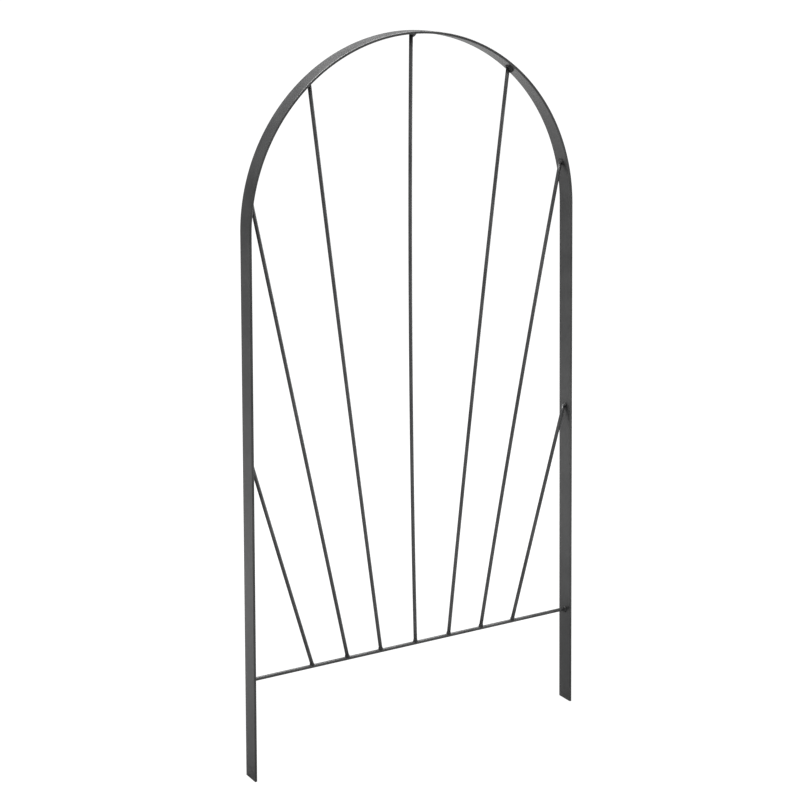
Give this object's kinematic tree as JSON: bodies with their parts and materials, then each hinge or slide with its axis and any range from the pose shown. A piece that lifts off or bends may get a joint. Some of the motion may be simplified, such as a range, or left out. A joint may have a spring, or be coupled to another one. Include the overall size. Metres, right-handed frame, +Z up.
{
  "type": "metal trellis arch",
  "caption": "Tall round-topped garden trellis arch of flat steel bar, with round spokes fanning up from a cross bar for climbing plants.",
  "frame": {"origin": "on the ground, midway between the two feet and at the middle of the flat bar's width", "axes": "+X across the arch to the right, +Y to the back, +Z up"},
  "size_m": [0.7618, 0.04, 1.442],
  "materials": {
    "coated_steel": "satin dark grey powder coat",
    "coated_weld": "satin dark grey powder coat over a rough weld bead"
  },
  "bodies": {
    "root": {"hoop": "coated_steel", "cross_bar": "coated_steel", "left_leg_spoke": "coated_steel", "left_lower_spoke": "coated_steel", "left_upper_spoke": "coated_steel", "centre_spoke": "coated_steel", "right_upper_spoke": "coated_steel", "right_lower_spoke": "coated_steel", "right_leg_spoke": "coated_steel", "left_leg_spoke_foot_weld": "coated_weld", "left_lower_spoke_foot_weld": "coated_weld", "left_upper_spoke_foot_weld": "coated_weld", "centre_spoke_foot_weld": "coated_weld", "right_upper_spoke_foot_weld": "coated_weld", "right_lower_spoke_foot_weld": "coated_weld", "right_leg_spoke_foot_weld": "coated_weld", "left_leg_spoke_top_weld": "coated_weld", "left_lower_spoke_top_weld": "coated_weld", "left_upper_spoke_top_weld": "coated_weld", "centre_spoke_top_weld": "coated_weld", "right_upper_spoke_top_weld": "coated_weld", "right_lower_spoke_top_weld": "coated_weld", "right_leg_spoke_top_weld": "coated_weld", "cross_bar_left_weld": "coated_weld", "cross_bar_right_weld": "coated_weld"}
  },
  "joints": []
}
